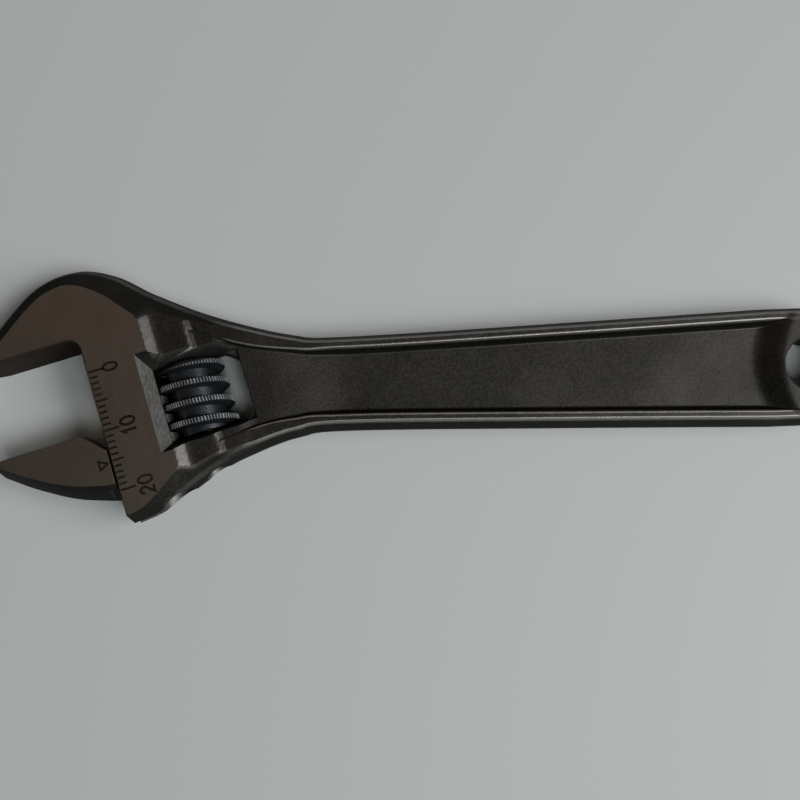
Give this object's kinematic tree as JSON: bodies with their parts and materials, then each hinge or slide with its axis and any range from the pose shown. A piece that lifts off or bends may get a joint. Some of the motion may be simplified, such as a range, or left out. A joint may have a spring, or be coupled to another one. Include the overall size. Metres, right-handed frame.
{
  "type": "adjustable wrench",
  "caption": "Adjustable wrench with a sliding jaw driven by a knurled worm, a graduated head, an I-section handle and a hanging hole.",
  "frame": {"origin": "on the handle's centre line, at the ground back face of the head", "axes": "+X along the handle to the hanging hole, +Y to the fixed jaw's side, +Z out of the graduated face"},
  "size_m": [0.1502, 0.043, 0.012],
  "materials": {
    "body_steel": "dark phosphated forging with ground bare faces on the head",
    "jaw_steel": "ground bare faces with dark drafted edges",
    "worm_steel": "blue-black oxide, satin",
    "screw_steel": "black oxide, satin",
    "spring_steel": "plain drawn wire"
  },
  "bodies": {
    "root": {"wrench_body": "body_steel", "worm_axle_screw": "screw_steel", "worm_spring": "spring_steel"},
    "jaw": {"movable_jaw": "jaw_steel"},
    "worm": {"adjusting_worm": "worm_steel"}
  },
  "joints": [
    {"name": "jaw_slide", "type": "slide", "parent": "root", "child": "jaw", "axis": [0.2588, -0.9659, 0], "range_m": [-0.01575, 0.00415]},
    {"name": "worm_spin", "type": "hinge", "parent": "root", "child": "worm", "pos_m": [0.01213, -0.00155, 0.006], "axis": [0.2588, -0.9659, 0], "range_deg": [-1772.88, 467.88]}
  ],
  "couplings": [
    {"joint": "worm_spin", "follows": "jaw_slide", "rad_per_m": 1963.5}
  ]
}
